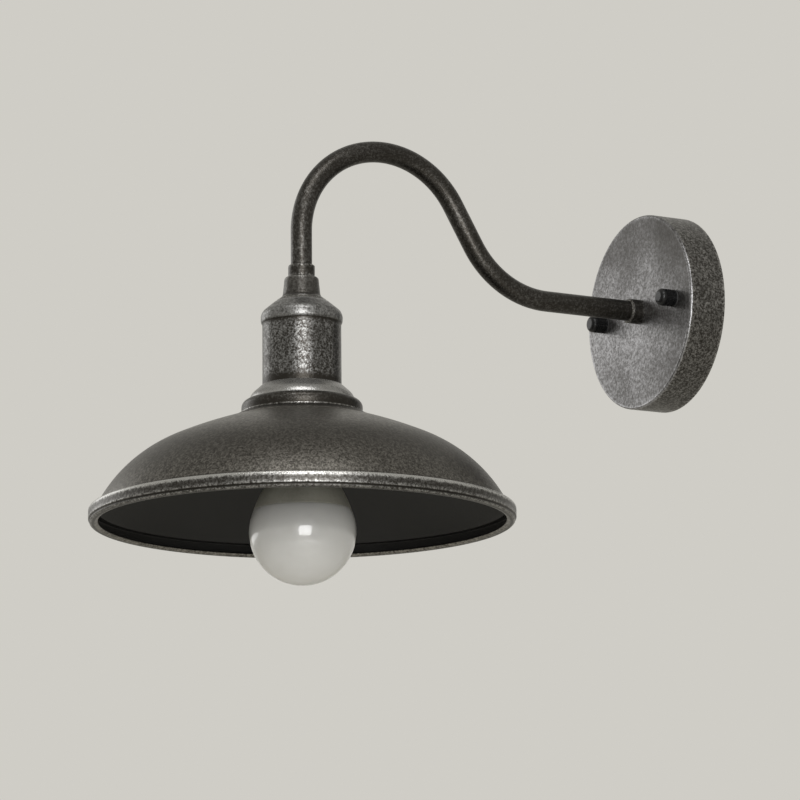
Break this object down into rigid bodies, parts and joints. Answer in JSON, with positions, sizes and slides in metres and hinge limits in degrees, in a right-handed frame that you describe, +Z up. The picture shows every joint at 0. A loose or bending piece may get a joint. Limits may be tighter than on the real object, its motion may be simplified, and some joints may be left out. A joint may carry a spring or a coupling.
{
  "type": "gooseneck wall sconce",
  "caption": "Wall light with a round canopy, a tube arm bent over in a gooseneck, and a shallow dome shade hung over a single screw-cap bulb.",
  "frame": {"origin": "centre of the two wall screw slots, on the plane of the wall", "axes": "+Z is up, +Y points into the wall, the lamp hangs out along -Y, +X is to the right seen from the room"},
  "size_m": [0.2464, 0.3782, 0.2702],
  "materials": {
    "aluminium": "bare",
    "antique_black": "near-black lacquer with a dry-brushed silver fleck",
    "antique_silver": "dark lacquer rubbed through to bright silver",
    "black_plastic": "matt black moulded",
    "board_green": "circuit board",
    "brass": "bare brass",
    "chip_yellow": "phosphor",
    "component": "moulded component",
    "fibre": "black fibre washer",
    "gloss_black": "gloss black",
    "housing": "white moulded",
    "lead_blue": "insulated wire",
    "lead_brown": "insulated wire",
    "lead_green": "insulated wire",
    "nickel": "nickel-plated",
    "nylon": "natural nylon",
    "opal": "frosted opal",
    "white_plastic": "off-white moulded",
    "zinc_steel": "zinc-plated steel"
  },
  "bodies": {
    "fixture": {"wall_bracket": "zinc_steel", "canopy_studs": "zinc_steel", "stud_lock_nuts": "zinc_steel", "canopy": "antique_black", "gooseneck_arm": "antique_black", "wall_nipple": "zinc_steel", "lamp_nipple": "zinc_steel", "wall_collar": "antique_black", "cup_collar": "antique_silver", "wall_toothed_washer": "zinc_steel", "wall_lock_nut": "zinc_steel", "lamp_toothed_washer": "zinc_steel", "lamp_lock_nut": "zinc_steel", "wall_bush": "nylon", "lamp_bush": "nylon", "cup_neck": "antique_black", "step_ring": "antique_silver", "socket_cup": "antique_black", "fitter_ring": "antique_silver", "shade_collar": "antique_black", "shade": "antique_black", "lampholder_cap": "black_plastic", "lampholder_skirt": "black_plastic", "lampholder_insert": "white_plastic", "screw_shell": "brass", "contact_leaf": "brass", "contact_rivets": "brass", "lampholder_terminals": "brass", "terminal_screws": "zinc_steel", "terminal_block": "nylon", "terminal_sleeves": "brass", "terminal_clamp_screws": "zinc_steel", "block_screws": "zinc_steel", "earth_screw": "brass", "earth_lug": "nickel", "lead_live": "lead_brown", "lead_neutral": "lead_blue", "lead_earth": "lead_green"},
    "bulb": {"bulb_diffuser": "opal", "bulb_housing": "housing", "led_plate": "aluminium", "led_chips": "chip_yellow", "driver_board": "board_green", "driver_choke": "component", "driver_capacitor": "component"},
    "bulb_base": {"bulb_screw_cap": "nickel", "bulb_insulator": "component", "bulb_tip_contact": "brass"},
    "left_washer": {"nut_washer_left": "fibre"},
    "left_nut": {"cap_nut_left": "gloss_black"},
    "right_washer": {"nut_washer_right": "fibre"},
    "right_nut": {"cap_nut_right": "gloss_black"},
    "clamp_ring": {"shade_ring": "black_plastic"}
  },
  "joints": [
    {"name": "bulb_travel", "type": "slide", "parent": "fixture", "child": "bulb", "axis": [0, 0, -1], "range_m": [0, 0.0218]},
    {"name": "bulb_turn", "type": "hinge", "parent": "bulb", "child": "bulb_base", "pos_m": [0, -0.255, -0.08], "axis": [0, 0, -1], "range_deg": [0, 2160]},
    {"name": "left_nut_travel", "type": "slide", "parent": "fixture", "child": "left_washer", "axis": [0, -1, 0], "range_m": [0, 0.0071]},
    {"name": "left_nut_turn", "type": "hinge", "parent": "left_washer", "child": "left_nut", "pos_m": [-0.0403, -0.03, 0], "axis": [0, -1, 0], "range_deg": [0, 3600]},
    {"name": "right_nut_travel", "type": "slide", "parent": "fixture", "child": "right_washer", "axis": [0, -1, 0], "range_m": [0, 0.0071]},
    {"name": "right_nut_turn", "type": "hinge", "parent": "right_washer", "child": "right_nut", "pos_m": [0.0403, -0.03, 0], "axis": [0, -1, 0], "range_deg": [0, 3600]},
    {"name": "shade_ring_turn", "type": "hinge", "parent": "fixture", "child": "clamp_ring", "pos_m": [0, -0.255, -0.09], "axis": [0, 0, -1], "range_deg": [0, 1080]}
  ],
  "couplings": [
    {"joint": "bulb_travel", "follows": "bulb_turn", "m_per_rad": 0.00057757},
    {"joint": "left_nut_travel", "follows": "left_nut_turn", "m_per_rad": 0.00011141},
    {"joint": "right_nut_travel", "follows": "right_nut_turn", "m_per_rad": 0.00011141}
  ]
}
